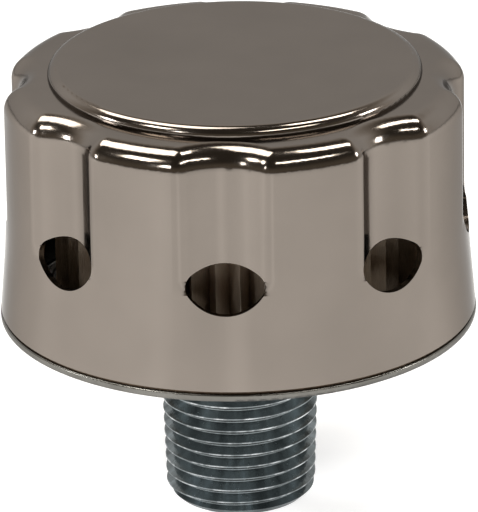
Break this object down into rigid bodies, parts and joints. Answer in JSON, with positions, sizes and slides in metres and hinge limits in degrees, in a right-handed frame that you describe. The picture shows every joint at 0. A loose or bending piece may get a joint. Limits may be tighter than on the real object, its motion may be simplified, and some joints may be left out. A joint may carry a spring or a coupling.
{
  "type": "air filter housing",
  "caption": "Fluted metal intake filter cap with eye-shaped air openings over a pleated element, on a base pan with a threaded pipe nipple.",
  "frame": {"origin": "centre of the threaded nipple's open end", "axes": "+Z along the nipple's axis towards the cap; a flute stands at -Y and every 45 degrees from there"},
  "size_m": [0.066, 0.066, 0.0637],
  "materials": {
    "black_nickel": "mirror plating, dark",
    "pan_zinc": "satin zinc plating",
    "nipple_zinc": "bright zinc plating",
    "braze": "satin",
    "fibre": "pressed fibre",
    "filter_paper": "resin-treated paper",
    "potting": "cast resin",
    "cap_steel": "plain sheet steel",
    "rivet_steel": "satin",
    "spring_steel": "drawn wire",
    "rubber": "matt",
    "felt": "felt"
  },
  "bodies": {
    "base": {"base_pan": "pan_zinc", "threaded_nipple": "nipple_zinc", "nipple_braze_ring": "braze", "doubler_plate": "cap_steel", "doubler_rivets": "rivet_steel", "retaining_clips": "spring_steel", "clip_rivets": "rivet_steel", "rim_gasket": "fibre", "bottom_gasket": "rubber", "element_bottom_cap": "cap_steel", "element_top_cap": "cap_steel", "bottom_potting": "potting", "top_potting": "potting", "pleated_media": "filter_paper", "inner_core": "cap_steel", "media_seam_strip": "cap_steel"},
    "cover": {"cover_shell": "black_nickel", "spring_cup": "cap_steel", "hold_down_spring": "spring_steel", "pressure_plate": "cap_steel", "pressure_pad": "felt"}
  },
  "joints": [
    {"name": "cover_lift", "type": "slide", "parent": "base", "child": "cover", "axis": [0, 0, 1], "range_m": [0, 0.04]}
  ]
}
